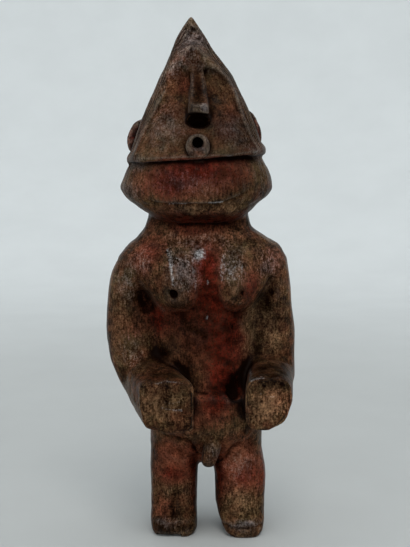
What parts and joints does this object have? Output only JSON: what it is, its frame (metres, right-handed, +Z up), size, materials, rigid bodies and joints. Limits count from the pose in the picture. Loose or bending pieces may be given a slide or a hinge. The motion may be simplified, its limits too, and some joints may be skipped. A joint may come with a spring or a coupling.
{
  "type": "carved wooden standing male figure",
  "caption": "Small standing male figure carved from one block of wood, with a pointed cap-like head, ring mouth, heavy jaw, broken forearms and short legs.",
  "frame": {"origin": "on the ground under the middle of the figure's bounding box, at sole level", "axes": "+Z up through the head, -Y the way the face looks, +X to the viewer's right as seen from the front"},
  "size_m": [0.1107, 0.0876, 0.3],
  "materials": {
    "carved_wood": "hand-carved hardwood with a worn dark patina, rubbed red ochre and traces of white clay, half matt"
  },
  "bodies": {
    "root": {"carved_figure": "carved_wood"}
  },
  "joints": []
}
